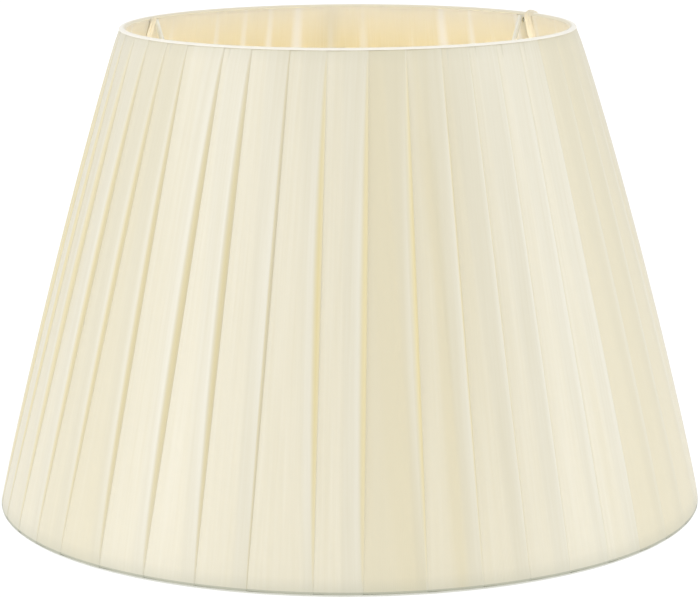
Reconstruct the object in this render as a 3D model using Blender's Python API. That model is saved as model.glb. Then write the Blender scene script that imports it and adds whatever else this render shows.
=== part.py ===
"""A pleated empire lamp shade: a welded wire frame with a dropped spider, a cover of one-way
knife pleats, a lining, a rolled trim on each ring and a strip of cloth round each arm's root.

The shade stands on z = 0 with its axis on Z, and -Y is its front. A side profile is laid out along
the straight line that joins the centres of the two ring wires: along is the distance up that line
from the bottom ring, and offset is the distance out from it, square to the line."""

import math

import bmesh
import bpy

# Frame
BOTTOM_RING_RADIUS = 0.1720  # to the centre of the wire
TOP_RING_RADIUS = 0.1095
RING_SPACING = 0.2316  # height between the two wires
RING_WIRE = 0.0022
STRUT_WIRE = 0.0022
STRUT_COUNT = 6

# Spider
ARM_WIRE = 0.0025
ARM_COUNT = 3
FIRST_ARM_DEG = 34.5
ARM_LEAN_DEG = 72.0  # how steeply an arm drops from the ring
ARM_BEND_RADIUS = 0.012
FITTER_DROP = 0.037  # from the top wire to the top of the fitter ring
FITTER_BORE = 0.042
FITTER_FLANGE = 0.0065
FITTER_LIP = 0.004
FITTER_SHEET = 0.0015
ARM_FROM_BORE = 0.0015

# Cloth
PLEAT_COUNT = 42
PLEAT_STEP_AT_RINGS = 0.0007
PLEAT_STEP_AT_MIDDLE = 0.0030
PLEAT_FOLD = 0.94  # where across a pleat its folded edge lies
COVER_CLOTH = 0.0008
COVER_TOP_INSET = 0.0012
LINING_CLOTH = 0.0006
LINING_TOP_INSET = 0.0030
LINING_BOTTOM_INSET = 0.0012
TRIM_CLOTH = 0.0004
TOP_TRIM_DEG = (0.0, 150.0)  # the part of the wire that a trim wraps; 90 is up, 0 is outwards
BOTTOM_TRIM_DEG = (200.0, 360.0)
NEATENER_CLOTH = 0.0005
NEATENER_WIDTH = 0.009
NEATENER_TAIL = 0.016
NEATENER_START_DEG = (8.0, 135.0, 135.0)  # the first goes over the rim, the others tuck in behind it
NEATENER_SLOT_START_DEG = 155.0
NEATENER_SLOT_TAIL = 0.0040

# Clearances
WELD_GAP = 0.0003  # between wires that are welded
CLOTH_GAP = 0.0004  # between cloth and what it lies on

# Fineness of the round shapes
ROUND_STEPS = 84
WIRE_SIDES = 8
ARM_SIDES_PER_QUARTER = 2
ARC_STEP_DEG = 20.0
TRIM_ARC_STEP_DEG = 32.0
MERGE = 0.00001  # points closer than this are one
COVER_ROWS = 5

# Places worked out from the sizes
RING_R = RING_WIRE / 2
ARM_R = ARM_WIRE / 2
TRIM_INNER = RING_R + WELD_GAP
TRIM_OUTER = TRIM_INNER + TRIM_CLOTH
BOTTOM_RING_Z = TRIM_OUTER
TOP_RING_Z = BOTTOM_RING_Z + RING_SPACING
LEAN = math.atan2(BOTTOM_RING_RADIUS - TOP_RING_RADIUS, RING_SPACING)
SIDE_LENGTH = math.hypot(BOTTOM_RING_RADIUS - TOP_RING_RADIUS, RING_SPACING)
CLOTH_OFFSET = max(RING_WIRE, STRUT_WIRE) / 2 + CLOTH_GAP
LINING_INSIDE = CLOTH_OFFSET + LINING_CLOTH
FITTER_TOP_Z = TOP_RING_Z - FITTER_DROP
ARM_LEVEL_Z = FITTER_TOP_Z + WELD_GAP + ARM_R


def side_point(along, offset):
    """(radius, height) of a point placed by the side's line."""
    radius = BOTTOM_RING_RADIUS - along * math.sin(LEAN) + offset * math.cos(LEAN)
    height = BOTTOM_RING_Z + along * math.cos(LEAN) + offset * math.sin(LEAN)
    return radius, height


def arc(centre, radius, start_deg, end_deg, step_deg=ARC_STEP_DEG):
    """Points (radius, height) along an arc in the side view, both ends included."""
    steps = max(1, round(abs(end_deg - start_deg) / step_deg))
    angles = [math.radians(start_deg + (end_deg - start_deg) * i / steps) for i in range(steps + 1)]
    return [(centre[0] + radius * math.cos(a), centre[1] + radius * math.sin(a)) for a in angles]


def paint(name, colour, roughness, metallic=0.0):
    """A plain Principled material."""
    material = bpy.data.materials.new(name)
    material.use_nodes = True
    shader = material.node_tree.nodes["Principled BSDF"]
    shader.inputs["Base Color"].default_value = (*colour, 1.0)
    shader.inputs["Roughness"].default_value = roughness
    shader.inputs["Metallic"].default_value = metallic
    return material


def place(name, mesh, material, turn_deg=0.0, sharp_deg=50.0):
    """Puts a mesh in the scene as one named sub-part, turned about the shade's axis."""
    if not mesh.materials:
        mesh.materials.append(material)
    mesh.shade_smooth()
    mesh.set_sharp_from_angle(angle=math.radians(sharp_deg))
    piece = bpy.data.objects.new(name, mesh)
    piece.rotation_euler.z = math.radians(turn_deg)
    bpy.context.collection.objects.link(piece)
    return piece


def mesh_from(bm, name):
    """Ends a bmesh: faces turned outwards, kept as a mesh."""
    bmesh.ops.remove_doubles(bm, verts=bm.verts, dist=MERGE)
    bmesh.ops.recalc_face_normals(bm, faces=bm.faces)
    mesh = bpy.data.meshes.new(name)
    bm.to_mesh(mesh)
    bm.free()
    return mesh


def turned(name, outline):
    """A closed outline of (radius, height) points turned once round the shade's axis."""
    bm = bmesh.new()
    corners = [bm.verts.new((radius, 0.0, height)) for radius, height in outline]
    edges = [bm.edges.new((a, b)) for a, b in zip(corners, corners[1:] + corners[:1])]
    bmesh.ops.spin(
        bm,
        geom=corners + edges,
        cent=(0, 0, 0),
        axis=(0, 0, 1),
        angle=math.tau,
        steps=ROUND_STEPS,
        use_merge=True,
    )
    return mesh_from(bm, name)


def ring_wire(name, radius, height):
    """A round wire bent into a ring."""
    turn = 360.0 / WIRE_SIDES
    angles = [math.radians(turn * (i + 0.5)) for i in range(WIRE_SIDES)]
    outline = [(radius + RING_R * math.cos(a), height + RING_R * math.sin(a)) for a in angles]
    return turned(name, outline)


def strut_wire():
    """A straight wire between the rings, drawn at azimuth 0, with a weld gap at each end."""
    end = RING_R + WELD_GAP
    length = SIDE_LENGTH - 2 * end
    bm = bmesh.new()
    bmesh.ops.create_cone(
        bm,
        cap_ends=True,
        segments=WIRE_SIDES,
        radius1=STRUT_WIRE / 2,
        radius2=STRUT_WIRE / 2,
        depth=length,
    )
    mesh = mesh_from(bm, "strut")
    radius, height = side_point(SIDE_LENGTH / 2, 0.0)
    sine, cosine = math.sin(LEAN), math.cos(LEAN)
    for vertex in mesh.vertices:
        x, y, z = vertex.co
        vertex.co = (radius + x * cosine - z * sine, y, height + x * sine + z * cosine)
    return mesh


def arm_route():
    """(radius, height) points of an arm: a steep drop from the ring, a bend, a level run inwards."""
    start = (TOP_RING_RADIUS - RING_R - WELD_GAP - ARM_R, TOP_RING_Z + WELD_GAP)
    end = (FITTER_BORE / 2 + ARM_FROM_BORE, ARM_LEVEL_Z)
    lean = math.radians(ARM_LEAN_DEG)
    corner_r = start[0] - (start[1] - ARM_LEVEL_Z) / math.tan(lean)
    bend_centre_r = corner_r - ARM_BEND_RADIUS * math.tan(lean / 2)
    centre = (bend_centre_r, ARM_LEVEL_Z + ARM_BEND_RADIUS)
    bend = arc(centre, ARM_BEND_RADIUS, ARM_LEAN_DEG - 90.0, -90.0)
    return [start, *bend, end]


def arm_wire():
    """One spider arm at azimuth 0: a poly curve with a round bevel, turned into a mesh."""
    curve = bpy.data.curves.new("arm_route", "CURVE")
    curve.dimensions = "3D"
    curve.bevel_depth = ARM_R
    curve.bevel_resolution = ARM_SIDES_PER_QUARTER
    curve.use_fill_caps = True
    route = arm_route()
    spline = curve.splines.new("POLY")
    spline.points.add(len(route) - 1)
    for point, (radius, height) in zip(spline.points, route):
        point.co = (radius, 0.0, height, 1.0)
    guide = bpy.data.objects.new("arm_guide", curve)
    bpy.context.collection.objects.link(guide)
    bm = bmesh.new()
    bm.from_mesh(guide.evaluated_get(bpy.context.evaluated_depsgraph_get()).to_mesh())
    bpy.data.objects.remove(guide)
    return mesh_from(bm, "arm")


def fitter_outline():
    """The pressed fitter ring in section: a flat flange with a lip turned down at its outer edge."""
    bore = FITTER_BORE / 2
    rim = bore + FITTER_FLANGE
    top, under = FITTER_TOP_Z, FITTER_TOP_Z - FITTER_SHEET
    foot = under - FITTER_LIP
    wall = rim - FITTER_SHEET
    return [(bore, top), (rim, top), (rim, foot), (wall, foot), (wall, under), (bore, under)]


def trim_outline(ring, ends_deg):
    """A rolled trim in section: a band of cloth bent round part of a ring wire."""
    outside = arc(ring, TRIM_OUTER, ends_deg[0], ends_deg[1], TRIM_ARC_STEP_DEG)
    inside = arc(ring, TRIM_INNER, ends_deg[1], ends_deg[0], TRIM_ARC_STEP_DEG)
    return outside + inside


def lining_outline():
    """The lining in section, a straight strip that lies inside the struts."""
    low, high = LINING_BOTTOM_INSET, SIDE_LENGTH - LINING_TOP_INSET
    outside = [side_point(along, -CLOTH_OFFSET) for along in (low, high)]
    inside = [side_point(along, -LINING_INSIDE) for along in (high, low)]
    return outside + inside


def pleat_step(share):
    """How far a pleat's folded edge stands up, most at half height where nothing holds it."""
    swell = 4 * share * (1 - share)
    return PLEAT_STEP_AT_RINGS + (PLEAT_STEP_AT_MIDDLE - PLEAT_STEP_AT_RINGS) * swell


def pleated_cover():
    """The cover: one pleat is a grid wrapped into a closed band, then copied round the axis."""
    lift = (0.0, PLEAT_FOLD / 2, PLEAT_FOLD, 0.0)  # across a pleat, from valley to fold and back
    across = (0.0, PLEAT_FOLD / 2, PLEAT_FOLD, 1.0)
    top = SIDE_LENGTH - COVER_TOP_INSET
    shares = [i / COVER_ROWS for i in range(COVER_ROWS + 1)]
    rows = [(share, True) for share in shares] + [(share, False) for share in reversed(shares)]
    rows.append(rows[0])
    bm = bmesh.new()
    bmesh.ops.create_grid(bm, x_segments=3, y_segments=len(rows) - 1, size=0.5)
    for vertex in bm.verts:
        column = round((vertex.co.x + 0.5) * 3)
        share, outside = rows[round((vertex.co.y + 0.5) * (len(rows) - 1))]
        rise = COVER_CLOTH + pleat_step(share) * lift[column] / PLEAT_FOLD if outside else 0.0
        radius, height = side_point(share * top, CLOTH_OFFSET + rise)
        azimuth = math.tau * across[column] / PLEAT_COUNT
        vertex.co = (radius * math.cos(azimuth), radius * math.sin(azimuth), height)
    bmesh.ops.spin(
        bm,
        geom=bm.verts[:] + bm.edges[:] + bm.faces[:],
        cent=(0, 0, 0),
        axis=(0, 0, 1),
        angle=math.tau * (PLEAT_COUNT - 1) / PLEAT_COUNT,
        steps=PLEAT_COUNT - 1,
        use_duplicate=True,
    )
    return mesh_from(bm, "pleated_cover")


def neatener_route(start_deg):
    """(radius, height) points of a neatener, round the top trim and down the lining, and its slot's rows.
    """
    reach = max(LINING_INSIDE, TRIM_OUTER) + CLOTH_GAP + NEATENER_CLOTH / 2
    ring = (TOP_RING_RADIUS, TOP_RING_Z)
    hang_deg = 180.0 + math.degrees(LEAN)
    over = arc(ring, reach, start_deg, NEATENER_SLOT_START_DEG)
    down = arc(ring, reach, NEATENER_SLOT_START_DEG, hang_deg)[1:]
    tails = (NEATENER_SLOT_TAIL, (NEATENER_SLOT_TAIL + NEATENER_TAIL) / 2, NEATENER_TAIL)
    hanging = [side_point(SIDE_LENGTH - tail, -reach) for tail in tails]
    slot = (len(over) - 1, len(over) + len(down))
    return over + down + hanging, slot


def neatener(start_deg):
    """A strip of cloth at azimuth 0, slotted for the arm. It gets its thickness from a Solidify."""
    route, (slot_from, slot_to) = neatener_route(start_deg)
    slot_half = ARM_R + CLOTH_GAP
    across = (-NEATENER_WIDTH / 2, -slot_half, slot_half, NEATENER_WIDTH / 2)
    bm = bmesh.new()
    bmesh.ops.create_grid(bm, x_segments=3, y_segments=len(route) - 1, size=0.5)
    places = {v: (round((v.co.x + 0.5) * 3), round((v.co.y + 0.5) * (len(route) - 1))) for v in bm.verts}
    slot = []
    for face in bm.faces:
        columns = sorted({places[v][0] for v in face.verts})
        first_row = min(places[v][1] for v in face.verts)
        if columns == [1, 2] and slot_from <= first_row < slot_to:
            slot.append(face)
    for vertex, (column, row) in places.items():
        azimuth = across[column] / TOP_RING_RADIUS
        radius, height = route[row]
        vertex.co = (radius * math.cos(azimuth), radius * math.sin(azimuth), height)
    bmesh.ops.delete(bm, geom=slot, context="FACES")
    return mesh_from(bm, "neatener")


def thicken(piece, thickness):
    """Gives a strip of cloth its thickness, half on each side."""
    modifier = piece.modifiers.new("cloth", "SOLIDIFY")
    modifier.thickness = thickness
    modifier.offset = 0.0


for old in list(bpy.data.objects):
    bpy.data.objects.remove(old)

WHITE_WIRE = paint("white_coated_wire", (0.86, 0.85, 0.80), 0.35)
ZINC_WIRE = paint("zinc_plated_wire", (0.62, 0.62, 0.60), 0.30, 0.9)
SATIN = paint("cream_satin", (0.86, 0.80, 0.66), 0.45)
LINING = paint("lining_cloth", (0.84, 0.72, 0.45), 0.70)
ROLLED = paint("ivory_trim", (0.90, 0.86, 0.76), 0.50)
STRIP = paint("neatener_cloth", (0.82, 0.70, 0.45), 0.65)

place("bottom_ring", ring_wire("bottom_ring", BOTTOM_RING_RADIUS, BOTTOM_RING_Z), ZINC_WIRE)
place("top_ring", ring_wire("top_ring", TOP_RING_RADIUS, TOP_RING_Z), WHITE_WIRE)

strut_mesh = strut_wire()
for number in range(STRUT_COUNT):
    turn = FIRST_ARM_DEG + 360.0 * number / STRUT_COUNT
    place(f"strut_{number + 1}", strut_mesh, ZINC_WIRE, turn)

arm_mesh = arm_wire()
for number in range(ARM_COUNT):
    turn = FIRST_ARM_DEG + 360.0 * number / ARM_COUNT
    place(f"spider_arm_{number + 1}", arm_mesh, WHITE_WIRE, turn)
    start_deg = NEATENER_START_DEG[number % len(NEATENER_START_DEG)]
    strip = place(f"neatener_{number + 1}", neatener(start_deg), STRIP, turn)
    thicken(strip, NEATENER_CLOTH)

place("fitter_ring", turned("fitter_ring", fitter_outline()), WHITE_WIRE)
place("lining", turned("lining", lining_outline()), LINING)
place("pleated_cover", pleated_cover(), SATIN, sharp_deg=30.0)
top_wire = (TOP_RING_RADIUS, TOP_RING_Z)
bottom_wire = (BOTTOM_RING_RADIUS, BOTTOM_RING_Z)
place("top_trim", turned("top_trim", trim_outline(top_wire, TOP_TRIM_DEG)), ROLLED)
place("bottom_trim", turned("bottom_trim", trim_outline(bottom_wire, BOTTOM_TRIM_DEG)), ROLLED)
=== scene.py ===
import math
import random

import bmesh
import bpy
from mathutils import Euler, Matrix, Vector, noise


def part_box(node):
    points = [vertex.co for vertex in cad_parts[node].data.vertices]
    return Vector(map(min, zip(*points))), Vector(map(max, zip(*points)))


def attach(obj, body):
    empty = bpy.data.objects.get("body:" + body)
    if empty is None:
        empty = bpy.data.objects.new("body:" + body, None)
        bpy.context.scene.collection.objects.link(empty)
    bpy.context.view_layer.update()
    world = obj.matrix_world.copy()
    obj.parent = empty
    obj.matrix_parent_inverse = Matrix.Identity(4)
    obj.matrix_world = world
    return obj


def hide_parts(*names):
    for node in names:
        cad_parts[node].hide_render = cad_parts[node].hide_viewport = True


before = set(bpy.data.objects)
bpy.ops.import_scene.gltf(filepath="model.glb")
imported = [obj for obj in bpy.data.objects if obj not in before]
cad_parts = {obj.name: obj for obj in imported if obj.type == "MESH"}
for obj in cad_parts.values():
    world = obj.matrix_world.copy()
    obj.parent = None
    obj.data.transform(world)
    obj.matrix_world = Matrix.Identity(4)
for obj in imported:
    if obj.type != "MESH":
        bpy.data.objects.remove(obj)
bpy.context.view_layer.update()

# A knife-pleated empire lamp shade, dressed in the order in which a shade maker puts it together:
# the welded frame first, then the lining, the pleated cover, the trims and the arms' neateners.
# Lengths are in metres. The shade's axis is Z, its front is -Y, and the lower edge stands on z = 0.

# ---------------------------------------------------------------------------------------------
# The two rings. Each is a 2.2 mm mild steel wire, rolled to a hoop and butt-welded. The bottom one
# is zinc-plated, and the top one is powder-coated white with the spider that is welded to it.
# ---------------------------------------------------------------------------------------------


def middle_of(node):
    """Half way between a CAD node's lowest and highest corners."""
    low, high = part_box(node)
    return (low + high) / 2


def ring_size(node, wire):
    """(radius, height) of a ring's wire centre, from the CAD node."""
    low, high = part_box(node)
    return (high.x - low.x) / 2 - wire / 2, (low.z + high.z) / 2


def hex_colour(code):
    """An sRGB hex colour as the linear colour that a socket takes."""
    parts = [int(code[i : i + 2], 16) / 255 for i in (0, 2, 4)]
    return (*[p / 12.92 if p <= 0.04045 else ((p + 0.055) / 1.055) ** 2.4 for p in parts], 1.0)


def add_node(tree, kind, inputs=None, **settings):
    """Adds a shader node. A socket given as an input is linked, and any other value is set."""
    made = tree.nodes.new("ShaderNode" + kind)
    for name, value in settings.items():
        setattr(made, name, value)
    for name, value in (inputs or {}).items():
        if isinstance(value, bpy.types.NodeSocket):
            tree.links.new(value, made.inputs[name])
        else:
            made.inputs[name].default_value = value
    return made


def start_material(name, **constants):
    """A material with one Principled shader, and the sockets that are the same all over."""
    material = bpy.data.materials.new(name)
    material.use_nodes = True
    shader = material.node_tree.nodes["Principled BSDF"]
    for socket, value in constants.items():
        shader.inputs[socket.replace("_", " ")].default_value = value
    return material, material.node_tree, shader


def keep(bm, name, material, sharp_deg=40.0):
    """Ends a bmesh as a named piece that rides on the shade."""
    mesh = bpy.data.meshes.new(name)
    bm.to_mesh(mesh)
    bm.free()
    mesh.materials.append(material)
    mesh.shade_smooth()
    mesh.set_sharp_from_angle(angle=math.radians(sharp_deg))
    piece = bpy.data.objects.new(name, mesh)
    bpy.context.scene.collection.objects.link(piece)
    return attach(piece, "root")


def close_up(bm, merge=0.00001):
    """Joins doubled points and turns the faces outwards."""
    bmesh.ops.remove_doubles(bm, verts=bm.verts, dist=merge)
    bmesh.ops.recalc_face_normals(bm, faces=bm.faces)


def round_the_axis(bm, steps):
    """Spins everything in bm once round the shade's axis."""
    bmesh.ops.spin(
        bm,
        geom=bm.verts[:] + bm.edges[:],
        cent=(0, 0, 0),
        axis=(0, 0, 1),
        angle=math.tau,
        steps=steps,
        use_merge=True,
    )
    close_up(bm)


def zinc_plate():
    """Zinc-plated steel: a bluish grey metal, brushed dull by the drawing die along the wire."""
    material, tree, shader = start_material("zinc_plated_steel", Metallic=1.0)
    where = add_node(tree, "TexCoord")
    spangle = add_node(  # crystals of the plate, 1.5 mm
        tree, "TexNoise", {"Vector": where.outputs["Object"], "Scale": 1 / 0.0015, "Detail": 3.0}
    )
    tone = add_node(tree, "ValToRGB", {"Fac": spangle.outputs["Fac"]})
    tone.color_ramp.elements[0].color = hex_colour("9DA09E")
    tone.color_ramp.elements[1].color = hex_colour("C9CBC6")
    rough = add_node(
        tree, "MapRange", {"Value": spangle.outputs["Fac"], "To Min": 0.28, "To Max": 0.44}
    )
    tree.links.new(tone.outputs["Color"], shader.inputs["Base Color"])
    tree.links.new(rough.outputs["Result"], shader.inputs["Roughness"])
    return material


def white_enamel():
    """White powder coat on steel: a soft gloss with a faint orange peel."""
    material, tree, shader = start_material(
        "white_powder_coat", Roughness=0.34, IOR=1.5, Coat_Weight=0.15, Coat_Roughness=0.25
    )
    where = add_node(tree, "TexCoord")
    dulled = add_node(  # handling marks, about 6 mm across
        tree, "TexNoise", {"Vector": where.outputs["Object"], "Scale": 1 / 0.006, "Detail": 4.0}
    )
    tone = add_node(tree, "ValToRGB", {"Fac": dulled.outputs["Fac"]})
    tone.color_ramp.elements[0].color = hex_colour("DCDCD2")
    tone.color_ramp.elements[1].color = hex_colour("EFEEE6")
    peel = add_node(  # orange peel, 1.2 mm from dimple to dimple
        tree, "TexNoise", {"Vector": where.outputs["Object"], "Scale": 1 / 0.0012, "Detail": 1.0}
    )
    bump = add_node(
        tree, "Bump", {"Height": peel.outputs["Fac"], "Strength": 0.25, "Distance": 0.00004}
    )
    tree.links.new(tone.outputs["Color"], shader.inputs["Base Color"])
    tree.links.new(bump.outputs["Normal"], shader.inputs["Normal"])
    return material


RING_WIRE = 0.0022
RING_STEPS = 168
WIRE_SIDES = 14  # flats round a wire's section
RING_WELD_SWELL = 0.00018  # how far the butt weld stands out
RING_WELD_LENGTH = 0.0016
ZINC = zinc_plate()
ENAMEL = white_enamel()
BOTTOM_R, BOTTOM_Z = ring_size("bottom_ring", RING_WIRE)
TOP_R, TOP_Z = ring_size("top_ring", RING_WIRE)


def ring_wire(node, radius, height, finish):
    """A round wire rolled to a hoop, with the swell of its butt weld at the back."""
    bm = bmesh.new()
    bmesh.ops.create_circle(bm, segments=WIRE_SIDES, radius=RING_WIRE / 2)
    bmesh.ops.rotate(bm, verts=bm.verts, matrix=Euler((math.pi / 2, 0, 0)).to_matrix())
    bmesh.ops.translate(bm, verts=bm.verts, vec=(radius, 0, height))
    round_the_axis(bm, RING_STEPS)
    for vertex in bm.verts:
        round_way = math.atan2(vertex.co.x, vertex.co.y) * radius
        swell = RING_WELD_SWELL * math.exp(-((round_way / RING_WELD_LENGTH) ** 2))
        vertex.co += swell * vertex.normal
    piece = keep(bm, node + "_wire", finish)
    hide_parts(node)


ring_wire("bottom_ring", BOTTOM_R, BOTTOM_Z, ZINC)
ring_wire("top_ring", TOP_R, TOP_Z, ENAMEL)

# ---------------------------------------------------------------------------------------------
# Six struts. Straight 2.2 mm wires of the same plated steel, resistance-welded to the rings at
# both ends, where the weld leaves a small squashed fillet. They lie between cover and lining.
# ---------------------------------------------------------------------------------------------
LEAN = math.atan2(BOTTOM_R - TOP_R, TOP_Z - BOTTOM_Z)
SIDE = math.hypot(BOTTOM_R - TOP_R, TOP_Z - BOTTOM_Z)
STRUT_COUNT = 6
STRUT_R = 0.0011
STRUT_GAP = 0.0012  # from the rings' centre lines to the ends of a strut
WELD_ROWS = [STRUT_GAP, 0.0022, 0.0045]  # where the wire is ringed with points near a weld
WELD_FLARE = 0.22  # how much wider the squashed fillet makes the wire
WELD_FADE = 0.0012  # and how far along it that fades


def side_point(along, offset):
    """(radius, height) at a distance up the side from the bottom ring, and out from it."""
    radius = BOTTOM_R - along * math.sin(LEAN) + offset * math.cos(LEAN)
    return radius, BOTTOM_Z + along * math.cos(LEAN) + offset * math.sin(LEAN)


for number in range(STRUT_COUNT):
    node = f"strut_{number + 1}"
    centre = middle_of(node)
    azimuth = math.atan2(centre.y, centre.x)
    rows = [*WELD_ROWS, SIDE / 3, 2 * SIDE / 3, *[SIDE - row for row in reversed(WELD_ROWS)]]
    bm = bmesh.new()
    bmesh.ops.create_circle(bm, segments=WIRE_SIDES, radius=STRUT_R, cap_ends=True)
    bmesh.ops.translate(bm, verts=bm.verts, vec=(0, 0, rows[0]))
    lid = bm.faces[:]
    for low, high in zip(rows, rows[1:]):
        lid = bmesh.ops.extrude_face_region(bm, geom=lid)["geom"]
        moved = [v for v in lid if isinstance(v, bmesh.types.BMVert)]
        lid = [f for f in lid if isinstance(f, bmesh.types.BMFace)]
        bmesh.ops.translate(bm, verts=moved, vec=(0, 0, high - low))
    level = [f for f in bm.faces if abs(f.normal.z) > 0.9 and f not in lid]
    inner = [f for f in level if rows[0] < f.calc_center_median().z < rows[-1]]
    bmesh.ops.delete(bm, geom=inner, context="FACES_ONLY")
    for vertex in bm.verts:
        from_weld = min(vertex.co.z, SIDE - vertex.co.z) - STRUT_GAP
        flare = 1 + WELD_FLARE * math.exp(-from_weld / WELD_FADE)
        radius, height = side_point(vertex.co.z, vertex.co.x * flare)
        across = vertex.co.y * flare
        vertex.co = (
            radius * math.cos(azimuth) - across * math.sin(azimuth),
            radius * math.sin(azimuth) + across * math.cos(azimuth),
            height,
        )
    close_up(bm)
    piece = keep(bm, node + "_wire", ZINC)
    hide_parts(node)

# ---------------------------------------------------------------------------------------------
# The fitter ring. Pressed from 1.5 mm steel sheet: a flat washer with a lip turned down round its
# rim, and a 42 mm bore that drops over the lampholder. It has the white powder coat of the arms.
# ---------------------------------------------------------------------------------------------
FITTER_BORE_R = 0.021
FITTER_SHEET = 0.0015
FITTER_STEPS = 96
LIP_BEND = 0.0009  # radius of the bend between washer and lip
BROKEN_EDGE = 0.0002  # and of the edges, once tumbled


def draw_profile(bm, outline):
    """Draws a closed outline of (radius, height) points in the plane of X and Z."""
    corners = [bm.verts.new((radius, 0, height)) for radius, height in outline]
    for a, b in zip(corners, corners[1:] + corners[:1]):
        bm.edges.new((a, b))
    return corners


def round_off(bm, geom, offset, affect, segments):
    """Rounds the corners of an outline, or the edges of a piece."""
    bmesh.ops.bevel(
        bm, geom=geom, offset=offset, affect=affect, segments=segments, profile=0.5, material=-1
    )


fitter_low, fitter_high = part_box("fitter_ring")
fitter_rim = fitter_high.x
bm = bmesh.new()
outline = [
    (FITTER_BORE_R, fitter_high.z - FITTER_SHEET),
    (FITTER_BORE_R, fitter_high.z),
    (fitter_rim, fitter_high.z),
    (fitter_rim, fitter_low.z),
    (fitter_rim - FITTER_SHEET, fitter_low.z),
    (fitter_rim - FITTER_SHEET, fitter_high.z - FITTER_SHEET),
]
corners = draw_profile(bm, outline)
round_off(bm, [corners[2], corners[5]], LIP_BEND, "VERTICES", segments=4)
round_the_axis(bm, FITTER_STEPS)
rims = [e for e in bm.edges if len(e.link_faces) == 2 and e.calc_face_angle() > math.radians(70)]
round_off(bm, rims, BROKEN_EDGE, "EDGES", segments=2)
close_up(bm)
fitter = keep(bm, "fitter_ring_pressing", ENAMEL)
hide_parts("fitter_ring")

# ---------------------------------------------------------------------------------------------
# Three spider arms. Each is a 2.5 mm wire that drops steeply from the top ring, bends on a 12 mm
# radius and runs level to the fitter ring, welded at both ends and coated white with it.
# ---------------------------------------------------------------------------------------------
ARM_R = 0.00125
ARM_LEAN = math.radians(72)
ARM_BEND_R = 0.012
ARM_BEND_STEPS = 12
ARM_GAP = 0.0003  # from the top ring's wire to an arm's root
ARM_RAISED = 0.0003  # how far the root lies above the ring's centre
ARM_FROM_BORE = 0.0015  # from the fitter ring's bore to an arm's foot
ARM_NODES = ("spider_arm_1", "spider_arm_2", "spider_arm_3")


def arm_azimuth(node):
    """The direction in which an arm points out from the axis."""
    centre = middle_of(node)
    return math.atan2(centre.y, centre.x)


def arm_line(root, foot):
    """(radius, height) points of an arm's centre line, with its bend rounded."""
    corner_r = root[0] - (root[1] - foot[1]) / math.tan(ARM_LEAN)
    centre = (corner_r - ARM_BEND_R * math.tan(ARM_LEAN / 2), foot[1] + ARM_BEND_R)
    bend = []
    for i in range(ARM_BEND_STEPS + 1):
        a = ARM_LEAN - math.pi / 2 - ARM_LEAN * i / ARM_BEND_STEPS
        bend.append((centre[0] + ARM_BEND_R * math.cos(a), centre[1] + ARM_BEND_R * math.sin(a)))
    return [root, *bend, foot]


for node in ARM_NODES:
    low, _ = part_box(node)
    azimuth = arm_azimuth(node)
    root = (TOP_R - RING_WIRE / 2 - ARM_GAP - ARM_R, TOP_Z + ARM_RAISED)
    foot = (FITTER_BORE_R + ARM_FROM_BORE, low.z + ARM_R)
    guide = bpy.data.curves.new(node, "CURVE")
    guide.dimensions = "3D"
    guide.bevel_depth = ARM_R
    guide.bevel_resolution = 4
    guide.use_fill_caps = True
    line = arm_line(root, foot)
    spline = guide.splines.new("POLY")
    spline.points.add(len(line) - 1)
    for point, (radius, height) in zip(spline.points, line):
        point.co = (radius * math.cos(azimuth), radius * math.sin(azimuth), height, 1)
    drawn = bpy.data.objects.new(node + "_guide", guide)
    bpy.context.scene.collection.objects.link(drawn)
    bm = bmesh.new()
    bm.from_mesh(drawn.evaluated_get(bpy.context.evaluated_depsgraph_get()).to_mesh())
    bpy.data.objects.remove(drawn)
    close_up(bm)
    piece = keep(bm, node + "_wire", ENAMEL)
    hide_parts(node)

# ---------------------------------------------------------------------------------------------
# The lining. A tan taffeta cone of fine, light cloth, cut on the bias and pulled over both rings
# inside the struts. It is smooth, a little hollow between struts and slit at the rim for each arm.
# Its colour is painted paler in narrow bands where only one layer of the cover lies over it, and at
# the rim: a painted glow of the daylight that comes through there.
# ---------------------------------------------------------------------------------------------
LINING_OFFSET = -0.0018  # inwards from the wires' centre line
PLEAT_COUNT = 42  # in the cover over it
LINING_COLUMNS = PLEAT_COUNT * 12  # twelve to a pleat
LINING_ROWS = 24
LINING_FOOT = 0.0012  # from the bottom ring's centre up the side
LINING_HEAD = 0.0012  # and past the top ring's centre
LINING_HOLLOW = 0.0016  # how far it is drawn in, half way between two struts
LINING_SLACK = 0.00025  # slow waves in it
LINING_RIPPLE = 0.00012  # fine ones, where it is eased over the top ring
LINING_TUCK = 0.0003  # how far its raw edge leans out under the trim
ROWS_TO_RIM = 1.6  # crowds the rows of points towards the rim
SLIT_DEPTH = 0.0045
SLIT_HALF = 0.0040
WAVE_PERIOD = 0.31416  # of a wave texture whose scale is 1
SAME_PLACE = 0.000001  # how near the two ends of a sheet that goes all the way round must meet
PAINTED_RIM_GLOW = 0.6  # how much paler the lining is painted at the rim: a painted glow of the daylight that reaches it
PAINTED_RIM_GLOW_DEPTH = 0.022


def thread_height(tree, where, warp, weft):
    """Two crossed sets of threads as a height from 0 to 1, from UV in metres."""
    rows = []
    for direction, spacing in (("X", warp), ("Y", weft)):
        wave = add_node(
            tree,
            "TexWave",
            {"Vector": where, "Scale": WAVE_PERIOD / spacing, "Distortion": 0.6, "Detail": 1.0},
            bands_direction=direction,
        )
        rows.append(wave.outputs["Fac"])
    return add_node(tree, "Math", {0: rows[0], 1: rows[1]}, operation="MULTIPLY").outputs[0]


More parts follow.
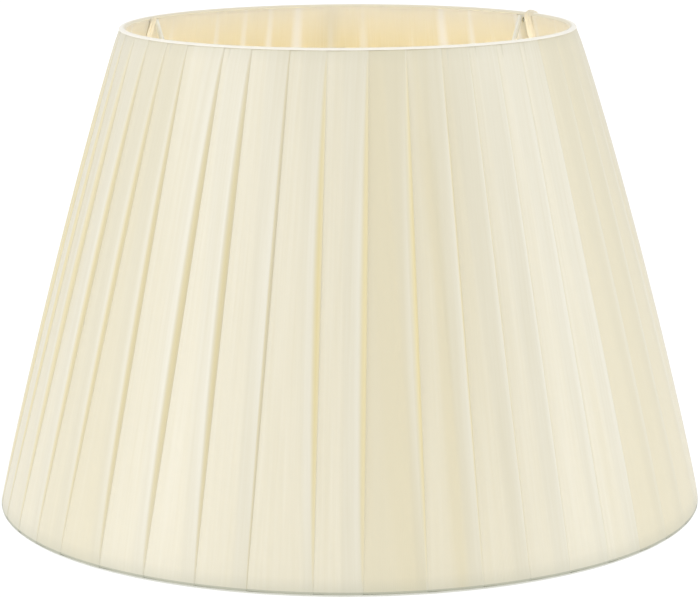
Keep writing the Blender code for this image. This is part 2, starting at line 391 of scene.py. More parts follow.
def cloth_material(
    name, pale, deep, light_through, rough, sheen, warp, weft, streak, streak_length, through
):
    """Woven cloth. Colour drifts along its threads in streaks, the weave is a fine bump, and some
    light passes through it."""
    material, tree, shader = start_material(
        name, Roughness=rough, IOR=1.46, Sheen_Weight=sheen, Sheen_Roughness=0.4
    )
    where = add_node(tree, "TexCoord").outputs["UV"]
    along = add_node(
        tree, "Mapping", {"Vector": where, "Scale": (1 / streak, 1 / streak_length, 1.0)}
    ).outputs["Vector"]
    streaks = add_node(
        tree, "TexNoise", {"Vector": along, "Scale": 1.0, "Detail": 3.0, "Roughness": 0.6}
    )
    tone = add_node(tree, "ValToRGB", {"Fac": streaks.outputs["Fac"]})
    tone.color_ramp.elements[0].position = 0.3
    tone.color_ramp.elements[1].position = 0.7
    tone.color_ramp.elements[0].color = hex_colour(deep)
    tone.color_ramp.elements[1].color = hex_colour(pale)
    weave = thread_height(tree, where, warp, weft)
    bump = add_node(tree, "Bump", {"Height": weave, "Strength": 0.35, "Distance": 0.00006})
    normal = add_node(
        tree,
        "Bump",
        {
            "Height": streaks.outputs["Fac"],
            "Strength": 0.2,
            "Distance": 0.00005,
            "Normal": bump.outputs["Normal"],
        },
    ).outputs["Normal"]
    tree.links.new(tone.outputs["Color"], shader.inputs["Base Color"])
    tree.links.new(normal, shader.inputs["Normal"])
    passed = add_node(
        tree, "BsdfTranslucent", {"Color": hex_colour(light_through), "Normal": normal}
    )
    mixed = add_node(
        tree, "MixShader", {"Fac": through, 1: shader.outputs["BSDF"], 2: passed.outputs["BSDF"]}
    )
    tree.links.new(mixed.outputs["Shader"], tree.nodes["Material Output"].inputs["Surface"])
    return material, tone


def tint_where(tree, colour, attribute, code):
    """Turns a colour towards another one where a vertex attribute of the piece says so."""
    mask = add_node(tree, "Attribute", attribute_name=attribute, attribute_type="GEOMETRY")
    mix = add_node(tree, "Mix", {"Factor": mask.outputs["Fac"]}, data_type="RGBA")
    tree.links.new(colour, mix.inputs[6])
    mix.inputs[7].default_value = hex_colour(code)
    return mix.outputs[2]


# Acetate taffeta: a plain weave, dull and papery, that lets much of the daylight through.
TAFFETA, taffeta_tone = cloth_material(
    "tan_lining_taffeta",
    pale="F3E8C7",
    deep="ECDEB1",
    light_through="FFF8E4",
    rough=0.62,
    sheen=0.10,
    warp=0.0006,
    weft=0.0006,
    streak=0.0012,
    streak_length=0.05,
    through=0.45,
)
# The lining's colour is painted toward white where its painted glow attribute says: painted light.
TAFFETA.node_tree.links.new(
    tint_where(TAFFETA.node_tree, taffeta_tone.outputs["Color"], "painted_glow", "FFFFFF"),
    TAFFETA.node_tree.nodes["Principled BSDF"].inputs["Base Color"],
)
bands = random.Random(11)
PAINTED_GLOW_BANDS = [  # painted glow, one band to a pleat: its share of the way round, half its width in pleats, how pale
    [
        (number + bands.uniform(-0.13, 0.13)) / PLEAT_COUNT,
        bands.uniform(0.10, 0.20),
        bands.uniform(0.3, 1.0),
    ]
    for number in range(PLEAT_COUNT)
]
for number in range(4, 10):  # this run of them lies about half a pleat nearer to +X
    PAINTED_GLOW_BANDS[number][0] -= 0.55 / PLEAT_COUNT
for number, half_width, paleness in (  # and these stand out more, or less, than most
    (7, 0.16, 0.9),
    (8, 0.23, 1.0),
    (9, 0.09, 0.4),
    (12, 0.24, 1.0),
    (13, 0.15, 0.9),
    (14, 0.13, 0.85),
    (15, 0.12, 0.8),
):
    PAINTED_GLOW_BANDS[number][1:] = half_width, paleness

bm = bmesh.new()
uv = bm.loops.layers.uv.new("cloth")
painted_glow = bm.verts.layers.float.new("painted_glow")
bmesh.ops.create_grid(bm, x_segments=LINING_COLUMNS, y_segments=LINING_ROWS, size=0.5)
spots = {v: (v.co.x + 0.5, v.co.y + 0.5) for v in bm.verts}
mean_round = math.pi * (BOTTOM_R + TOP_R)
for face in bm.faces:
    for loop in face.loops:
        share, up = spots[loop.vert]
        loop[uv].uv = (share * mean_round, up * SIDE)
STRUT_AZIMUTH = math.atan2(middle_of("strut_1").y, middle_of("strut_1").x)
ARM_AZIMUTHS = [arm_azimuth(node) for node in ARM_NODES]
for vertex, (share, up) in spots.items():
    azimuth = math.tau * share
    between = math.sin((azimuth - STRUT_AZIMUTH) * STRUT_COUNT / 2) ** 2
    hollow = LINING_HOLLOW * between * math.sin(math.pi * up)
    around = Vector((math.cos(azimuth) * 9, math.sin(azimuth) * 9, up * 3))  # waves of 15 mm
    slack = LINING_SLACK * noise.noise(around)
    slack += LINING_RIPPLE * math.sin(azimuth * 97 + 3 * math.sin(azimuth * 5)) * (up**3)
    head = SIDE + LINING_HEAD
    for arm in ARM_AZIMUTHS:
        away = abs(math.remainder(azimuth - arm, math.tau)) * TOP_R
        head -= SLIT_DEPTH * max(0.0, 1 - away / SLIT_HALF)
    along = LINING_FOOT + (head - LINING_FOOT) * (1 - (1 - up) ** ROWS_TO_RIM)
    tucked = LINING_TUCK * max(0.0, along - SIDE) / LINING_HEAD
    radius, height = side_point(along, LINING_OFFSET - hollow + slack + tucked)
    vertex.co = (radius * math.cos(azimuth), radius * math.sin(azimuth), height)
    # Painted glow: paler near the rim, and in a band over each pleat's single layer of cover.
    vertex[painted_glow] = PAINTED_RIM_GLOW * max(0.0, 1 - (SIDE - along) / PAINTED_RIM_GLOW_DEPTH)
    for centre, half_width, paleness in PAINTED_GLOW_BANDS:
        away = abs(math.remainder(share - centre, 1.0)) * PLEAT_COUNT / half_width
        vertex[painted_glow] = max(vertex[painted_glow], paleness * (1 - away**2) if away < 1 else 0.0)
bmesh.ops.remove_doubles(bm, verts=bm.verts, dist=SAME_PLACE)
lining = keep(bm, "lining_taffeta", TAFFETA, sharp_deg=60.0)
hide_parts("lining")

# ---------------------------------------------------------------------------------------------
# The pleated cover. One long strip of cream satin, laid in 42 one-way knife pleats round the frame
# by hand, so their pitch wanders. Each pleat laps over the next one: it rises from under its
# neighbour, rolls over at its folded edge, runs back beneath itself and turns again.
# ---------------------------------------------------------------------------------------------
PLEAT_CLOTH = 0.0415  # of the strip's length that one pleat takes up
FLAT_STEPS, ROLL_STEPS, BACK_STEPS, TURN_STEPS, UNDER_STEPS = 15, 7, 2, 2, 2
STEPS = FLAT_STEPS + ROLL_STEPS + BACK_STEPS + TURN_STEPS + UNDER_STEPS
BASE_AT_BOTTOM, BASE_AT_TOP = 0.0017, 0.00145  # cloth from the wires' centre line
RIM_LIFT = 0.00026  # how far a fold stands up at the rings
MIDDLE_LIFT = 0.0019  # and half way between them, where nothing holds it down
RIM_ROLL = 0.00080  # width of the rounded edge from its crest to its foot
MIDDLE_ROLL = 0.0031
BELLY = 0.0016  # how far the whole cover stands off the struts half way up
ROLL_DEG = 58.0  # how far the edge turns down before it reaches its foot
LAYER = 0.00009  # between one layer of cloth and the next
BACK_RISE = 1.6 * LAYER  # of the layer that runs back beneath a pleat
LAP_LEAST = 0.004
LAP_MOST = 0.82  # of the pitch
LAP_TURNS = 0.0006  # cloth that a lap loses to the rounded edge and the turn
FLAT_EASE = 2.2  # how soon a pleat rises from under its neighbour
LIFT_EASE = 1.2  # and how late it stands up to its own edge
CREASE_MOST = 0.75  # of a pleat's rise that a crease may sink
SEAM_PLEAT = 0  # the pleat at which the strip's two ends are joined
SEAM_DEG = -14.3  # from the front, towards +X
SIDE_ROWS = 40
EDGE_ROWS = 5
UNDER_DEG = 38.0  # how far the cover rolls under the bottom ring
OVER_DEG = 34.0  # how far it rolls over the top ring, beneath the trim
RING_ROLL_R = 0.0025  # radius of the cloth where it rolls over a ring
SPACING_SWELL = ((1, -1.5), (3, 1.5), (4, 0.6))  # waves in a turn, and their degrees
SHARED_LEAN = 1.1  # degrees from foot to head, most of it near the strip's join
SHARED_BOW = -0.48  # degrees by which the folds at the sides bow half way up
FULLER, FLATTER = (1, 2, 3), (33, 34, 35)

# What the hand did differently from pleat to pleat: shares of the usual lift and roll, metres of
# lap and bow, degrees of drift and lean, where the fold stands fullest, and how much darker tan
# its colour is, a random tone that near the strip's join is replaced by painted shade.
hand = random.Random(42)
PLEATS = [
    {
        "lift": hand.uniform(0.85, 1.15),
        "roll": hand.uniform(0.8, 1.2),
        "lap": hand.uniform(-0.0010, 0.0010),
        "bow": hand.uniform(-0.0005, 0.0003),
        "drift": hand.uniform(-0.2, 0.2),
        "lean": hand.uniform(-0.5, 0.5),
        "peak": hand.uniform(0.42, 0.60),
        "tone_and_shade": hand.uniform(0.0, 0.5),
    }
    for _ in range(PLEAT_COUNT)
]
PLEATS[SEAM_PLEAT].update(lift=0.55, roll=0.35, drift=0.0, lean=-0.25)
for number in FLATTER:
    PLEATS[number].update(lift=0.6, roll=0.7)
for number in FULLER:
    PLEATS[number].update(lift=1.15, roll=1.45)
for number in range(4, 12):  # and folded sharper
    PLEATS[number]["roll"] *= 0.5
NUDGED = {
    1: (0.15, -1.2),
    2: (-0.9, 0.5),
    3: (-0.4, 0.0),
    39: (0.3, -2.0),
    40: (1.7, 0.0),
    41: (0.4, -1.0),
}
for number, (further, more_lean) in NUDGED.items():  # degrees, where the hand slipped by the join
    PLEATS[number]["drift"] += further
    PLEATS[number]["lean"] += more_lean
PAINTED_SHADE_PLEATS = {3: 1.0, 4: 0.4, 5: 0.25, 9: 0.9, 10: 1.0, 11: 0.9, 38: 0.5, 39: 0.6}
for number in [*range(12), *range(37, 42)]:  # how much painted shade darkens each pleat by the strip's join, on those that are less lit
    PLEATS[number]["tone_and_shade"] = PAINTED_SHADE_PLEATS.get(number, 0.0)

# Soft creases where the cloth was eased as it was pulled down: the pleat, where the crease runs
# across it at its foot and its head, how deep and how wide it is, and the heights it fades between.
CREASES = [
    (3, 0.84, 0.16, 0.0014, 0.20, -0.1, 1.0),
    (4, 0.62, 0.52, 0.0016, 0.13, -0.15, 0.85),
    (4, 0.62, 0.25, 0.0006, 0.12, 0.55, 1.15),
    (4, 0.35, 0.52, 0.0006, 0.10, 0.65, 1.15),
    (5, 0.35, 0.10, 0.0004, 0.20, 0.3, 1.1),
]
for _ in range(14):  # and fainter ones of the same kind all round
    start = hand.uniform(-0.2, 0.5)
    CREASES.append(
        (
            hand.randrange(6, 38),
            hand.uniform(0.2, 0.8),
            hand.uniform(0.2, 0.8),
            hand.uniform(0.0001, 0.0004),
            hand.uniform(0.12, 0.25),
            start,
            start + hand.uniform(0.5, 0.9),
        )
    )


def fold_azimuth(pleat, up):
    """Where a pleat's folded edge lies, in radians from the front: an even pitch, and on it the
    slow swell of spacing done by eye and a lean of its own."""
    turn = math.tau * pleat / PLEAT_COUNT
    own = PLEATS[pleat % PLEAT_COUNT]
    swell = sum(degrees * math.sin(waves * turn) for waves, degrees in SPACING_SWELL)
    lean = SHARED_LEAN * (up - 0.5) * (1 + math.cos(turn - 0.3)) + own["lean"] * (up - 0.5)
    bow = SHARED_BOW * math.sin(math.pi * up) * math.sin(turn)
    return math.radians(SEAM_DEG + own["drift"] + swell + lean + bow) + turn


def standing(up, peak):
    """From 0 at the rings to 1 where a fold stands furthest out."""
    share = min(1.0, max(0.0, up))
    bent = share ** (math.log(0.5) / math.log(peak))
    return (4 * bent * (1 - bent)) ** 0.75


def crease_depth(pleat, share, up):
    """How far a pleat's creases sink at one place on it."""
    depth = 0.0
    for number, at_foot, at_head, deep, wide, low, high in CREASES:
        if number == pleat % PLEAT_COUNT and low < up < high:
            centre = at_foot + (at_head - at_foot) * up
            fade = math.sin(math.pi * (up - low) / (high - low)) ** 0.7
            depth += deep * fade * math.exp(-(((share - centre) / wide) ** 2))
    return depth


def pleat_point(pleat, step, up):
    """(azimuth from the front, rise above the base) of one step along a pleat's cloth."""
    own = PLEATS[pleat % PLEAT_COUNT]
    proud = standing(up, own["peak"])
    radius = side_point(up * SIDE, BASE_AT_BOTTOM)[0]
    fold = fold_azimuth(pleat, up)
    pitch = (fold - fold_azimuth(pleat - 1, up)) * radius
    lift = RIM_LIFT + (MIDDLE_LIFT - RIM_LIFT) * proud * own["lift"]
    roll = RIM_ROLL + (MIDDLE_ROLL - RIM_ROLL) * proud * own["roll"]
    lap = max(LAP_LEAST, (PLEAT_CLOTH - pitch) / 2 - LAP_TURNS + own["lap"])
    lap = min(lap, pitch * LAP_MOST)
    if step <= FLAT_STEPS:
        share = step / FLAT_STEPS
        eased = 1 - (1 - share) ** FLAT_EASE
        rise = RIM_LIFT * eased + (lift - RIM_LIFT) * share**LIFT_EASE
        rise += own["bow"] * proud * math.sin(math.pi * share) * 2 * share
        sink = crease_depth(pleat, share, up) * math.sin(math.pi * share) ** 0.5
        rise -= min(sink, CREASE_MOST * max(0.0, rise - 2 * LAYER))
        place = -pitch + (pitch - roll) * share
    elif step <= FLAT_STEPS + ROLL_STEPS:
        full = math.radians(ROLL_DEG)
        turn = full * (step - FLAT_STEPS) / ROLL_STEPS
        place = -roll + roll * math.sin(turn) / math.sin(full)
        rise = lift - (lift - LAYER / 3) * (1 - math.cos(turn)) / (1 - math.cos(full))
    elif step <= FLAT_STEPS + ROLL_STEPS + BACK_STEPS:
        share = (step - FLAT_STEPS - ROLL_STEPS) / BACK_STEPS
        place = -lap * share
        rise = LAYER / 3 + (BACK_RISE - LAYER / 3) * min(1.0, 2 * share)
    elif step <= FLAT_STEPS + ROLL_STEPS + BACK_STEPS + TURN_STEPS:
        share = (step - FLAT_STEPS - ROLL_STEPS - BACK_STEPS) / TURN_STEPS
        place = -lap - BACK_RISE / 2 * math.sin(math.pi * share)
        rise = BACK_RISE / 2 * (1 + math.cos(math.pi * share))
    else:
        share = (step - (STEPS - UNDER_STEPS)) / UNDER_STEPS
        place = -lap * (1 - share)
        rise = 0.0
    return fold + place / radius, rise


def cover_rows():
    """For each row of the cloth, from its lower edge: (share of the side's height, angle round a
    ring's wire). The angle is None on the straight side."""
    under = [(0.0, -UNDER_DEG * (1 - i / EDGE_ROWS)) for i in range(EDGE_ROWS)]
    straight = [(i / SIDE_ROWS, None) for i in range(SIDE_ROWS + 1)]
    over = [(1.0, OVER_DEG * (i + 1) / EDGE_ROWS) for i in range(EDGE_ROWS)]
    return under + straight + over


def satin():
    """Cream polyester satin: long floats along the pleats give it a soft sheen across them, with
    faint streaks where the yarn thickens. Its colour is painted: darker tan on some pleats and in
    creases (their own tone and painted shade), tan on a fold's turned side (painted shade), paler
    on its top (a painted highlight), grey along the edges (painted shade), and the strip's join is
    a fine dull line (its seam, with painted shade in the gap)."""
    material, tone = cloth_material(
        "cream_satin",
        pale="E6E0CA",
        deep="E1DAC1",
        light_through="F8F0D8",
        rough=0.36,
        sheen=0.06,
        warp=0.0005,
        weft=0.0004,
        streak=0.0016,
        streak_length=0.09,
        through=0.04,
    )
    tree = material.node_tree
    shader = tree.nodes["Principled BSDF"]
    shader.inputs["Anisotropic"].default_value = 0.6
    shader.inputs["Specular IOR Level"].default_value = 1.0
    colour = tone.outputs["Color"]
    for name, code in (
        # painted shade, with each pleat's own tone
        ("tone_and_shade", "DED5B6"),
        # painted highlight on the crests
        ("crest", "F6F3E6"),
        # painted shade on the turned side of each fold
        ("turned", "E4D28E"),
        # the join's seam, with painted shade in its narrow gap
        ("seam", "DCD3B2"),
        # painted shade along the bottom and top edges
        ("painted_edge_shade", "A9AB97"),
    ):
        colour = tint_where(tree, colour, name, code)
    tree.links.new(colour, shader.inputs["Base Color"])
    return material


SATIN = satin()
rows = cover_rows()
columns = PLEAT_COUNT * STEPS
bm = bmesh.new()
uv = bm.loops.layers.uv.new("cloth")
seam = bm.verts.layers.float.new("seam")
tone_and_shade = bm.verts.layers.float.new("tone_and_shade")
painted_edge_shade = bm.verts.layers.float.new("painted_edge_shade")
turned_shade = bm.verts.layers.float.new("turned")
crest = bm.verts.layers.float.new("crest")
TURNED_SHADE_BY_STEP = {1: 0.05, 2: 0.35, 3: 0.75, 4: 1.0, 5: 1.0, 6: 0.85, 7: 0.55}  # painted shade on a fold's turned side, by steps round the fold
TURNED_SHADE, TURNED_SHADE_FULL = 0.55, 0.75  # share of that painted shade on most pleats, and on the fuller ones
CREST_HIGHLIGHT_BY_STEP = {-2: 0.1, -1: 0.6, 0: 1.0, 1: 0.5}  # painted highlight, by steps from where a fold starts to turn
# how pale the painted highlight on the crest is
CREST_HIGHLIGHT = 0.32
PLEAT_TONE_AND_SHADE, CREASE_PAINTED_SHADE = 0.75, 1.1  # how much darker tan each brings: the pleat's own tone and painted shade, and painted shade in a crease
DEEP_CREASE = 0.0014  # the depth at which a crease has all of its painted shade
HEM_PAINTED_SHADE, HEM_REACH = 0.30, 0.008  # painted shade above the bottom ring, and how far up it reaches
RIM_PAINTED_SHADE, RIM_REACH = 0.08, 0.004  # and painted shade below the top one
UNDER_PAINTED_SHADE = 0.85  # painted shade on what is rolled under the bottom ring
bmesh.ops.create_grid(bm, x_segments=columns, y_segments=len(rows) - 1, size=0.5)
spots = {
    v: (round((v.co.x + 0.5) * columns), round((v.co.y + 0.5) * (len(rows) - 1)))
    for v in bm.verts
}

# How much of the strip lies before each step of a pleat, measured half way up a usual one.
USUAL_PLEAT = 8
middle_radius = side_point(SIDE / 2, 0.003)[0]
run = [0.0]
before = pleat_point(USUAL_PLEAT, 0, 0.5)
for step in range(1, STEPS + 1):
    here = pleat_point(USUAL_PLEAT, step, 0.5)
    run.append(run[-1] + math.hypot((here[0] - before[0]) * middle_radius, here[1] - before[1]))
    before = here
run = [length * PLEAT_CLOTH / run[-1] for length in run]


def row_along(row):
    """The cloth's own length up to a row."""
    up, ring_deg = rows[row]
    bent = 0.0 if ring_deg is None else math.radians(ring_deg) * RING_ROLL_R
    return up * SIDE + bent


for face in bm.faces:
    for loop in face.loops:
        column, row = spots[loop.vert]
        pleat, step = divmod(column, STEPS)
        loop[uv].uv = (pleat * PLEAT_CLOTH + run[step], row_along(row))
for vertex, (column, row) in spots.items():
    pleat, step = divmod(column, STEPS)
    up, ring_deg = rows[row]
    azimuth, rise = pleat_point(pleat, step, up)
    offset = BASE_AT_BOTTOM + (BASE_AT_TOP - BASE_AT_BOTTOM) * up + rise
    offset += BELLY * math.sin(math.pi * min(1.0, up)) ** 0.6 if 0 < up < 1 else 0.0
    angle = math.radians(ring_deg or 0.0)
    radius, height = side_point(up * SIDE + offset * math.sin(angle), offset * math.cos(angle))
    vertex.co = (radius * math.sin(azimuth), -radius * math.cos(azimuth), height)
    # The turned side of each fold is painted tan: painted shade.
    tan = TURNED_SHADE_FULL if pleat % PLEAT_COUNT in FULLER else TURNED_SHADE
    vertex[turned_shade] = tan * TURNED_SHADE_BY_STEP.get(step - FLAT_STEPS, 0.0) * standing(up, 0.5) ** 0.6
    if step <= FLAT_STEPS + 1:
        # painted shade in a crease, deeper where it sinks further
        shade_in_crease = crease_depth(pleat, step / FLAT_STEPS, up) / DEEP_CREASE
        own_tone_and_shade = PLEATS[pleat % PLEAT_COUNT]["tone_and_shade"]
        vertex[tone_and_shade] = min(1.0, PLEAT_TONE_AND_SHADE * own_tone_and_shade + CREASE_PAINTED_SHADE * shade_in_crease)
    # a painted highlight along each fold's crest
    vertex[crest] = CREST_HIGHLIGHT * CREST_HIGHLIGHT_BY_STEP.get(step - FLAT_STEPS, 0.0) * standing(up, 0.5)
    # Grey painted shade near the bottom and top edges, and on what rolls under.
    grey = HEM_PAINTED_SHADE * max(0.0, 1 - up * SIDE / HEM_REACH) ** 1.5
    grey += RIM_PAINTED_SHADE * max(0.0, 1 - (1 - up) * SIDE / RIM_REACH)
    vertex[painted_edge_shade] = UNDER_PAINTED_SHADE if ring_deg is not None and ring_deg < -5 else grey
    # The join is painted as a dull line at its fold's foot: its seam, with painted shade in the
    # gap.
    at_foot = FLAT_STEPS + 4 <= step <= FLAT_STEPS + ROLL_STEPS + 1
    vertex[seam] = 1.0 if pleat % PLEAT_COUNT == SEAM_PLEAT and at_foot else 0.0
bmesh.ops.remove_doubles(bm, verts=bm.verts, dist=SAME_PLACE)
probe = max(bm.faces, key=lambda f: f.calc_center_median().xy.length)  # shows which way they face
if probe.normal.xy.dot(probe.calc_center_median().xy) < 0:
    bmesh.ops.reverse_faces(bm, faces=bm.faces)
cover = keep(bm, "satin_cover", SATIN, sharp_deg=80.0)
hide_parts("pleated_cover")

# ---------------------------------------------------------------------------------------------
# The rolled trims. Ivory satin cut on the bias, folded and rolled over each ring to hide the raw
# edges of the cover and the lining, and glued. The top one shows as a bright bead.
# ---------------------------------------------------------------------------------------------
TRIM_CLOTH = 0.0004
TRIM_STEPS = 252  # round the shade
TRIM_ARC_STEPS = 12  # round the ring's wire
TRIM_EDGE = 0.45  # of the cloth's thickness that its folded edges are rounded to
PUCKER_ALL = 0.35  # of the pucker that reaches the middle of a band
TURNED_IN_FROM, TURNED_IN_FADE, TURNED_IN_TO = 95, 25, 190  # degrees round the wire


def bias_satin(name, pale, deep):
    """Bias-cut satin: its ribs run slantwise round the roll, 0.8 mm apart, it is a little cloudy,
    and the edge that is turned in is painted darker, as painted shade."""
    material, tree, shader = start_material(name, Roughness=0.5, IOR=1.46, Sheen_Weight=0.3)
    where = add_node(tree, "TexCoord").outputs["UV"]
    slant = add_node(tree, "Mapping", {"Vector": where, "Rotation": (0, 0, math.radians(45))})
    ribs = add_node(
        tree,
        "TexWave",
        {"Vector": slant.outputs["Vector"], "Scale": WAVE_PERIOD / 0.0008, "Distortion": 1.0},
    )
    cloudy = add_node(  # clouds of about 4 mm
        tree, "TexNoise", {"Vector": where, "Scale": 1 / 0.004, "Detail": 3.0}
    )
    tone = add_node(tree, "ValToRGB", {"Fac": cloudy.outputs["Fac"]})
    tone.color_ramp.elements[0].color = hex_colour(deep)
    tone.color_ramp.elements[1].color = hex_colour(pale)
    bump = add_node(
        tree, "Bump", {"Height": ribs.outputs["Fac"], "Strength": 0.5, "Distance": 0.00008}
    )
    # the turned-in side is painted darker: painted shade
    colour = tint_where(tree, tone.outputs["Color"], "painted_inner_shade", "E4DCC4")
    tree.links.new(colour, shader.inputs["Base Color"])
    tree.links.new(bump.outputs["Normal"], shader.inputs["Normal"])
    return material


def rolled_trim(node, name, ring, inner, degs, material, pucker):
    """A band of cloth bent round part of a ring's wire, with the inner radius that it has at either
    edge. Glueing puckers its free edges a little."""
    arc = []
    for i in range(TRIM_ARC_STEPS + 1):
        share = i / TRIM_ARC_STEPS
        angle = math.radians(degs[0] + (degs[1] - degs[0]) * share)
        arc.append((angle, inner[0] + (inner[1] - inner[0]) * share))
    inside = [(ring[0] + r * math.cos(a), ring[1] + r * math.sin(a)) for a, r in reversed(arc)]
    arc = [(a, r + TRIM_CLOTH) for a, r in arc]
    outside = [(ring[0] + r * math.cos(a), ring[1] + r * math.sin(a)) for a, r in arc]
    bm = bmesh.new()
    corners = draw_profile(bm, outside + inside)
    ends = [corners[0], corners[TRIM_ARC_STEPS], corners[TRIM_ARC_STEPS + 1], corners[-1]]
    round_off(bm, ends, TRIM_CLOTH * TRIM_EDGE, "VERTICES", segments=3)
    round_the_axis(bm, TRIM_STEPS)
    uv = bm.loops.layers.uv.new("cloth")
    painted_inner_shade = bm.verts.layers.float.new("painted_inner_shade")
    for vertex in bm.verts:
        azimuth = math.atan2(vertex.co.y, vertex.co.x)
        out = vertex.co.xy.length - ring[0]
        angle = math.degrees(math.atan2(vertex.co.z - ring[1], out)) % 360
        # painted shade on the side that is turned in
        hidden = min(1.0, max(0.0, (angle - TURNED_IN_FROM) / TURNED_IN_FADE))
        vertex[painted_inner_shade] = hidden if angle < TURNED_IN_TO else 0.0
        edge = min(abs(angle - degs[0] % 360), abs(angle - degs[1])) / abs(degs[1] - degs[0])
        loose = max(0.0, 1 - 3 * edge)
        ripple = noise.noise(Vector((math.cos(azimuth), math.sin(azimuth), 0)) * 24)
        ripple += 0.5 * noise.noise(Vector((math.cos(azimuth), math.sin(azimuth), 1)) * 60)
        wide = 1 + pucker * (PUCKER_ALL + loose) * ripple / inner[0]
        radius = ring[0] + out * wide
        height = ring[1] + (vertex.co.z - ring[1]) * wide
        vertex.co = (radius * math.cos(azimuth), radius * math.sin(azimuth), max(0.0, height))
    for face in bm.faces:
        centre = face.calc_center_median()
        base = math.atan2(centre.y, centre.x)
        for loop in face.loops:
            at = loop.vert.co
            azimuth = base + math.remainder(math.atan2(at.y, at.x) - base, math.tau)
            angle = math.atan2(at.z - ring[1], at.xy.length - ring[0]) % math.tau
            loop[uv].uv = (azimuth * ring[0], angle * (inner[0] + TRIM_CLOTH))
    piece = keep(bm, name, material, sharp_deg=50.0)
    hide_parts(node)
    return piece


IVORY_BIAS = bias_satin("ivory_bias_satin", "FAF6EA", "F2EDDD")
SHADED_BIAS = bias_satin("shaded_ivory_bias_satin", "D6D6CA", "C9C9BC")  # a darker copy of the ivory, painted shade on the bottom roll that faces down
top_trim = rolled_trim(
    "top_trim",
    "top_trim_roll",
    ring=(TOP_R, TOP_Z),
    inner=(0.0018, 0.0017),
    degs=(34.0, 160.0),
    material=IVORY_BIAS,
    pucker=0.00006,
)
bottom_trim = rolled_trim(
    "bottom_trim",
    "bottom_trim_roll",
    ring=(BOTTOM_R, BOTTOM_Z),
    inner=(0.0014, 0.0018),
    degs=(196.0, 338.0),
    material=SHADED_BIAS,
    pucker=0.00004,
)

# ---------------------------------------------------------------------------------------------
# The neateners. Scraps of the lining cloth, gathered round the root of each arm to hide the slit
# that lets it out of the lining. Two are tucked behind the trim, and one is laid over the rim.
# ---------------------------------------------------------------------------------------------
SCRAP_WIDTH = 0.0110  # as cut
SCRAP_THICK = 0.0003
SCRAP_COLUMNS, SCRAP_ROWS = 28, 30
ROUND_ROWS = 12  # of these, the ones round the ring's wire
SCRAP_REACH = 0.0029  # from the wires' centre line to the scrap
TAIL_LEAN = 0.0006  # how far its tail leans back to the lining
GATHER, CRUMPLE = 0.0005, 0.0003  # half the depth of its folds, and what is uneven in them
RIM_CURL, TAIL_CURL = 0.0005, 0.0006  # how far its edges curl to the lining, and more at the tail
SCRAPS = (  # the degrees round the ring's wire at which it starts, its length, its width at the rim
    # and at the tail, and how far, in radians, it is gathered to one side of its arm
    ("neatener_1", 20.0, 0.027, 0.0044, 0.0082, -0.055),
    ("neatener_2", 148.0, 0.021, 0.0054, 0.0080, 0.02),
    ("neatener_3", 155.0, 0.021, 0.0066, 0.0092, 0.0),
)
# Acetate taffeta like the lining's, gathered in layers: paler, with a soft bloom, and letting
# little light through.
SCRAP_CLOTH, _ = cloth_material(
    "neatener_taffeta",
    pale="F3ECDA",
    deep="EBE1C6",
    light_through="FFF6E0",
    rough=0.6,
    sheen=0.2,
    warp=0.0006,
    weft=0.0006,
    streak=0.0010,
    streak_length=0.02,
    through=0.06,
)


def scrap_route(start_deg, length, reach):
    """(radius, height, normal angle) points down a scrap: round the top ring, then down inside."""
    hang_deg = 180 + math.degrees(LEAN)
    route = []
    for i in range(ROUND_ROWS + 1):
        angle = math.radians(start_deg + (hang_deg - start_deg) * i / ROUND_ROWS)
        route.append((TOP_R + reach * math.cos(angle), TOP_Z + reach * math.sin(angle), angle))
    tail = length - reach * math.radians(hang_deg - start_deg)
    tail_rows = SCRAP_ROWS - ROUND_ROWS
    for i in range(1, tail_rows + 1):
        share = i / tail_rows
        radius, height = side_point(SIDE - tail * share, -reach + TAIL_LEAN * share)
        route.append((radius, height, math.radians(hang_deg)))
    return route


for node, start_deg, length, rim_width, tail_width, aside in SCRAPS:
    azimuth = arm_azimuth(node.replace("neatener", "spider_arm")) + aside
    route = scrap_route(start_deg, length, SCRAP_REACH)
    bm = bmesh.new()
    uv = bm.loops.layers.uv.new("cloth")
    bmesh.ops.create_grid(bm, x_segments=SCRAP_COLUMNS, y_segments=SCRAP_ROWS, size=0.5)
    spots = {v: (v.co.x, round((v.co.y + 0.5) * SCRAP_ROWS)) for v in bm.verts}
    for face in bm.faces:
        for loop in face.loops:
            across, row = spots[loop.vert]
            loop[uv].uv = (across * SCRAP_WIDTH, row / SCRAP_ROWS * length)
    for vertex, (across, row) in spots.items():
        radius, height, angle = route[row]
        down = row / SCRAP_ROWS
        width = rim_width + (tail_width - rim_width) * down**1.5
        wander = 1.4 * math.sin(3 * down + azimuth)
        fold = GATHER * math.sin(across * 21 + wander) * (1 - 0.55 * down)
        fold += CRUMPLE * noise.noise(Vector((across * 6, down * 5, azimuth)))
        fold -= (RIM_CURL + TAIL_CURL * down) * (2 * across) ** 2
        turned = azimuth + across * width / TOP_R + 0.01 * down * math.sin(azimuth * 3)
        radius += fold * math.cos(angle)
        height += fold * math.sin(angle)
        vertex.co = (radius * math.cos(turned), radius * math.sin(turned), height)
    bmesh.ops.recalc_face_normals(bm, faces=bm.faces)
    scrap = keep(bm, node + "_scrap", SCRAP_CLOTH, sharp_deg=80.0)
    thick = scrap.modifiers.new("cloth", "SOLIDIFY")
    thick.thickness = SCRAP_THICK
    thick.offset = 0.0
    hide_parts(node)

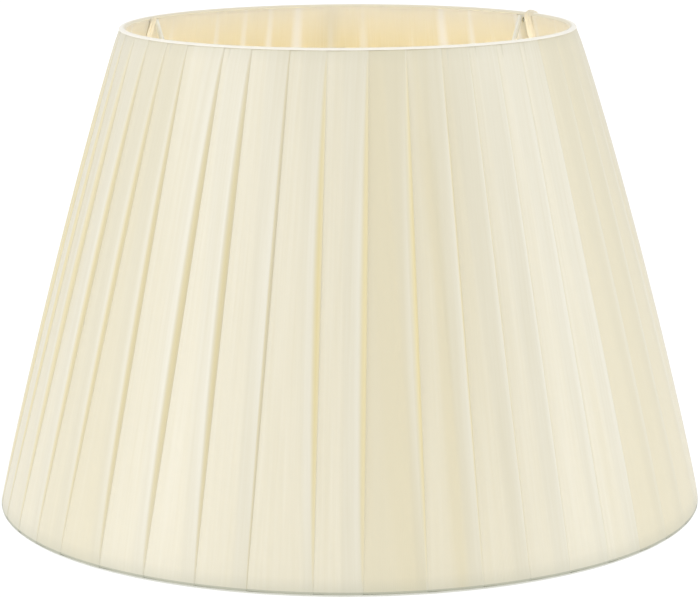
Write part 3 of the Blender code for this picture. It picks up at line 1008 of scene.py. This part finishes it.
# ---------------------------------------------------------------------------------------------
# The table and the light. A seamless sweep of white paper in a bright even room, with a large soft
# window to the left of the camera and a smaller one to the right.
# ---------------------------------------------------------------------------------------------
FLOOR_HALF = 9.0
FLOOR_DROP = 0.0003  # clear of the trim's underside
INSIDE_FOOT, OUTSIDE_FOOT = 0.150, 0.172  # radii between which the paper's brightness changes
PAPER_INSIDE, PAPER_OUTSIDE = 2.60, 0.93  # it glows up into the shade, and is plain white round it
ROOM_LIGHT = 0.89
AIM_HEIGHT = 0.12  # half way up the shade, where both windows point
bm = bmesh.new()
bmesh.ops.create_grid(bm, x_segments=2, y_segments=2, size=FLOOR_HALF)
bmesh.ops.translate(bm, verts=bm.verts, vec=(0, 0, -FLOOR_DROP))
sweep = bpy.data.meshes.new("white_sweep")
bm.to_mesh(sweep)
bm.free()
floor = bpy.data.objects.new("white_sweep", sweep)
bpy.context.scene.collection.objects.link(floor)
# Matt paper: no gloss and no grain, with its own even light, so that no shadow of the shade shows.
paper, tree, shader = start_material("white_paper", Roughness=0.9)
shader.inputs["Base Color"].default_value = hex_colour("606060")
where = add_node(tree, "TexCoord").outputs["Object"]
away = add_node(tree, "VectorMath", {0: where}, operation="LENGTH").outputs["Value"]
lit = add_node(
    tree,
    "MapRange",
    {
        "Value": away,
        "From Min": INSIDE_FOOT,
        "From Max": OUTSIDE_FOOT,
        "To Min": PAPER_INSIDE,
        "To Max": PAPER_OUTSIDE,
    },
).outputs["Result"]
tree.links.new(lit, shader.inputs["Emission Strength"])
shader.inputs["Emission Color"].default_value = (1, 1, 1, 1)
sweep.materials.append(paper)

world = bpy.data.worlds.new("studio")
world.use_nodes = True
room = world.node_tree.nodes["Background"]
room.inputs["Color"].default_value = (1.0, 1.0, 1.0, 1.0)
room.inputs["Strength"].default_value = ROOM_LIGHT
bpy.context.scene.world = world


def soft_window(name, azimuth_deg, distance, height, size, watts, tint):
    """A large rectangular area light that faces the middle of the shade."""
    lamp = bpy.data.lights.new(name, "AREA")
    lamp.shape = "RECTANGLE"
    lamp.size, lamp.size_y = size
    lamp.energy = watts
    lamp.color = hex_colour(tint)[:3]
    window = bpy.data.objects.new(name, lamp)
    azimuth = math.radians(azimuth_deg)
    window.location = (distance * math.sin(azimuth), -distance * math.cos(azimuth), height)
    aim = Vector((0, 0, AIM_HEIGHT)) - window.location
    window.rotation_euler = aim.to_track_quat("-Z", "Y").to_euler()
    bpy.context.scene.collection.objects.link(window)


soft_window(
    "left_window",
    azimuth_deg=-62.0,
    distance=1.9,
    height=0.75,
    size=(0.7, 1.6),
    watts=8.5,
    tint="ECF1FF",
)
soft_window(
    "right_window",
    azimuth_deg=76.0,
    distance=2.1,
    height=0.70,
    size=(0.5, 1.5),
    watts=8.5,
    tint="E6EEFF",
)

# ---------------------------------------------------------------------------------------------
# The camera. It stands a little above the shade's rim with a long lens, looks down by 11 degrees
# and leans by a quarter of a degree.
# ---------------------------------------------------------------------------------------------
CAMERA_DISTANCE, CAMERA_HEIGHT = 1.3087, 0.3623
LENS_MM, SENSOR_MM = 138.25, 36.0
LENS_SHIFT = (0.0017, -0.0123)  # shares of the frame's width
LOOKS_DOWN_DEG = 11.189
LEANS_DEG = -0.258
lens = bpy.data.cameras.new("camera")
lens.lens = LENS_MM
lens.sensor_width = SENSOR_MM
lens.shift_x, lens.shift_y = LENS_SHIFT
camera = bpy.data.objects.new("camera", lens)
camera.location = (0.0, -CAMERA_DISTANCE, CAMERA_HEIGHT)
tilted = Euler((math.radians(90 - LOOKS_DOWN_DEG), 0, 0)).to_matrix()
leaning = Euler((0, 0, math.radians(LEANS_DEG))).to_matrix()
camera.rotation_euler = (tilted @ leaning).to_euler()
bpy.context.scene.collection.objects.link(camera)
bpy.context.scene.camera = camera
bpy.context.scene.view_settings.view_transform = "Standard"
